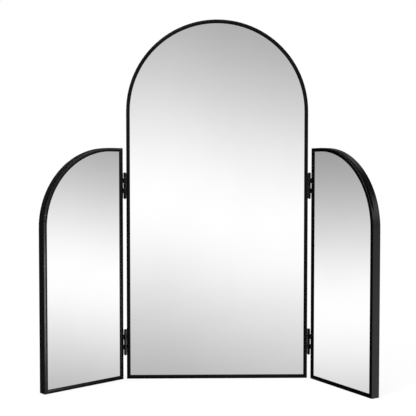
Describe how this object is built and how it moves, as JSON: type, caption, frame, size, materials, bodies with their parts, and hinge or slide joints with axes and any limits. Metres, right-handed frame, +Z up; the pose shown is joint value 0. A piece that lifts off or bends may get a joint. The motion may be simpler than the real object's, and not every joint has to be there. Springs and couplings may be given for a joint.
{
  "type": "trifold vanity mirror",
  "caption": "Free-standing trifold vanity mirror: an arched centre mirror with a quarter-arched mirror wing hinged to each side, in slim black metal frames.",
  "frame": {"origin": "middle of the underside of the centre panel's bottom rail, halfway through its depth", "axes": "+Z up along the centre panel's height, the mirrors face -Y, +X to the right as a person looking into the mirror sees it"},
  "size_m": [0.7936, 0.2225, 0.9039],
  "materials": {
    "rail_black": "satin",
    "mirror": "polished",
    "foam": "matte",
    "hardboard": "matte",
    "setting_rubber": "matte",
    "spring_steel": "satin",
    "plated_steel": "satin",
    "screw_black": "satin",
    "hinge_black": "satin"
  },
  "bodies": {
    "centre_panel": {"centre_arch_rail": "rail_black", "centre_backing_board": "hardboard", "centre_bottom_rail": "rail_black", "centre_corner_screws": "screw_black", "centre_foam_sheet": "foam", "centre_hinge_screws": "screw_black", "centre_left_corner_key": "plated_steel", "centre_mirror_glass": "mirror", "centre_right_corner_key": "plated_steel", "centre_setting_blocks": "setting_rubber", "centre_spring_clips": "spring_steel", "left_lower_hinge_centre_leaf": "hinge_black", "left_lower_hinge_centre_nut_plate": "plated_steel", "left_lower_hinge_pin": "hinge_black", "left_upper_hinge_centre_leaf": "hinge_black", "left_upper_hinge_centre_nut_plate": "plated_steel", "left_upper_hinge_pin": "hinge_black", "right_lower_hinge_centre_leaf": "hinge_black", "right_lower_hinge_centre_nut_plate": "plated_steel", "right_lower_hinge_pin": "hinge_black", "right_upper_hinge_centre_leaf": "hinge_black", "right_upper_hinge_centre_nut_plate": "plated_steel", "right_upper_hinge_pin": "hinge_black"},
    "left_wing": {"left_lower_hinge_wing_leaf": "hinge_black", "left_lower_hinge_wing_nut_plate": "plated_steel", "left_upper_hinge_wing_leaf": "hinge_black", "left_upper_hinge_wing_nut_plate": "plated_steel", "left_wing_arch_rail": "rail_black", "left_wing_backing_board": "hardboard", "left_wing_bottom_rail": "rail_black", "left_wing_corner_screws": "screw_black", "left_wing_foam_sheet": "foam", "left_wing_hinge_bottom_corner_key": "plated_steel", "left_wing_hinge_screws": "screw_black", "left_wing_hinge_stile": "rail_black", "left_wing_hinge_top_corner_key": "plated_steel", "left_wing_mirror_glass": "mirror", "left_wing_outer_corner_key": "plated_steel", "left_wing_setting_blocks": "setting_rubber", "left_wing_spring_clips": "spring_steel"},
    "right_wing": {"right_lower_hinge_wing_leaf": "hinge_black", "right_lower_hinge_wing_nut_plate": "plated_steel", "right_upper_hinge_wing_leaf": "hinge_black", "right_upper_hinge_wing_nut_plate": "plated_steel", "right_wing_arch_rail": "rail_black", "right_wing_backing_board": "hardboard", "right_wing_bottom_rail": "rail_black", "right_wing_corner_screws": "screw_black", "right_wing_foam_sheet": "foam", "right_wing_hinge_bottom_corner_key": "plated_steel", "right_wing_hinge_screws": "screw_black", "right_wing_hinge_stile": "rail_black", "right_wing_hinge_top_corner_key": "plated_steel", "right_wing_mirror_glass": "mirror", "right_wing_outer_corner_key": "plated_steel", "right_wing_setting_blocks": "setting_rubber", "right_wing_spring_clips": "spring_steel"}
  },
  "joints": [
    {"name": "left_wing_hinge", "type": "hinge", "parent": "centre_panel", "child": "left_wing", "pos_m": [-0.232, -0.01415, 0.2915], "axis": [0, 0, 1], "range_deg": [-50.1, 139.9]},
    {"name": "right_wing_hinge", "type": "hinge", "parent": "centre_panel", "child": "right_wing", "pos_m": [0.232, -0.01415, 0.2915], "axis": [0, 0, -1], "range_deg": [-69.8, 120.2]}
  ]
}
